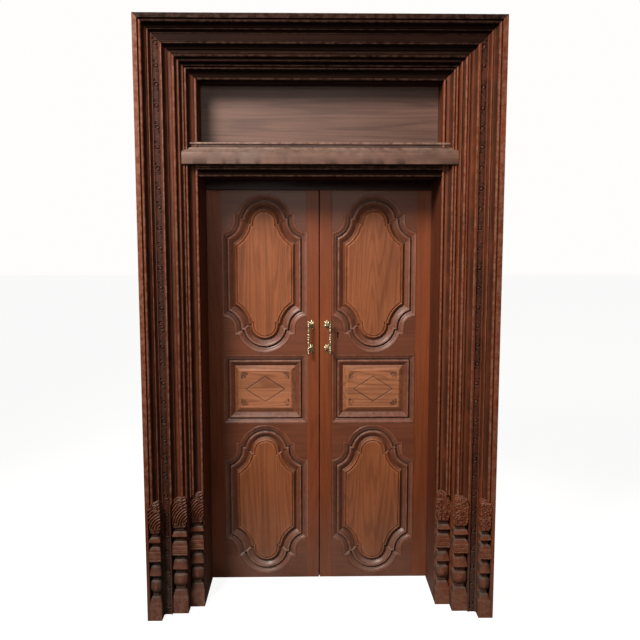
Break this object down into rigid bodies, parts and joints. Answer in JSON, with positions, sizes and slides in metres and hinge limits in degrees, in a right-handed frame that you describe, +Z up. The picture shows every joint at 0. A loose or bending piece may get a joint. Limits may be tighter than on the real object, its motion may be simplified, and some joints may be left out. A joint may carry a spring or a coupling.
{
  "type": "carved temple door",
  "caption": "Double door of carved teak in a deep stepped frame: two hinged leaves with scrolled raised panels, a fixed transom panel above, pull handles, lock and tower bolt.",
  "frame": {"origin": "on the floor, at the middle of the overall box", "axes": "+Z up, -Y towards the carved front, +X to the right as seen from the front"},
  "size_m": [1.567, 0.485, 2.6485],
  "materials": {
    "teak": "old oiled teak, worn",
    "dark_teak": "old oiled teak, darkened",
    "light_teak": "old oiled teak, rubbed",
    "iron": "black wrought iron",
    "brass": "aged brass"
  },
  "bodies": {
    "frame": {"left_post": "teak", "right_post": "teak", "lintel": "dark_teak", "top_beam": "dark_teak", "outer_jamb_left": "teak", "outer_jamb_right": "teak", "outer_header": "dark_teak", "vine_band_left": "dark_teak", "vine_band_right": "dark_teak", "middle_jamb_left": "teak", "middle_jamb_right": "teak", "middle_header": "dark_teak", "inner_jamb_left": "teak", "inner_jamb_right": "teak", "inner_header": "dark_teak", "transom_panel": "light_teak", "transom_sill": "light_teak", "door_head_moulding": "dark_teak", "left_frame_hinge_low": "iron", "left_frame_hinge_mid": "iron", "left_frame_hinge_top": "iron", "right_frame_hinge_low": "iron", "right_frame_hinge_mid": "iron", "right_frame_hinge_top": "iron", "left_hinge_pins": "iron", "right_hinge_pins": "iron", "frame_screws": "iron"},
    "left_leaf": {"left_hinge_stile": "teak", "left_meeting_stile": "teak", "left_top_rail": "teak", "left_upper_rail": "teak", "left_lower_rail": "teak", "left_bottom_rail": "teak", "left_upper_panel": "light_teak", "left_middle_panel": "light_teak", "left_lower_panel": "light_teak", "left_leaf_hinge_low": "iron", "left_leaf_hinge_mid": "iron", "left_leaf_hinge_top": "iron", "left_leaf_screws": "iron", "left_handle": "brass", "bolt_keeper": "iron", "tower_bolt_guide": "iron"},
    "right_leaf": {"right_hinge_stile": "teak", "right_meeting_stile": "teak", "right_top_rail": "teak", "right_upper_rail": "teak", "right_lower_rail": "teak", "right_bottom_rail": "teak", "right_upper_panel": "light_teak", "right_middle_panel": "light_teak", "right_lower_panel": "light_teak", "right_leaf_hinge_low": "iron", "right_leaf_hinge_mid": "iron", "right_leaf_hinge_top": "iron", "right_leaf_screws": "iron", "right_handle": "brass", "lock_case": "iron"},
    "lock_bolt": {"lock_bolt": "brass"},
    "tower_bolt": {"tower_bolt": "brass"}
  },
  "joints": [
    {"name": "left_leaf_swing", "type": "hinge", "parent": "frame", "child": "left_leaf", "pos_m": [-0.5585, 0.2245, 1], "axis": [0, 0, 1], "range_deg": [0, 100]},
    {"name": "right_leaf_swing", "type": "hinge", "parent": "frame", "child": "right_leaf", "pos_m": [0.5585, 0.2245, 1], "axis": [0, 0, -1], "range_deg": [0, 100]},
    {"name": "lock_bolt_slide", "type": "slide", "parent": "right_leaf", "child": "lock_bolt", "axis": [-1, 0, 0], "range_m": [0, 0.022]},
    {"name": "tower_bolt_slide", "type": "slide", "parent": "left_leaf", "child": "tower_bolt", "axis": [0, 0, 1], "range_m": [0, 0.022]}
  ]
}
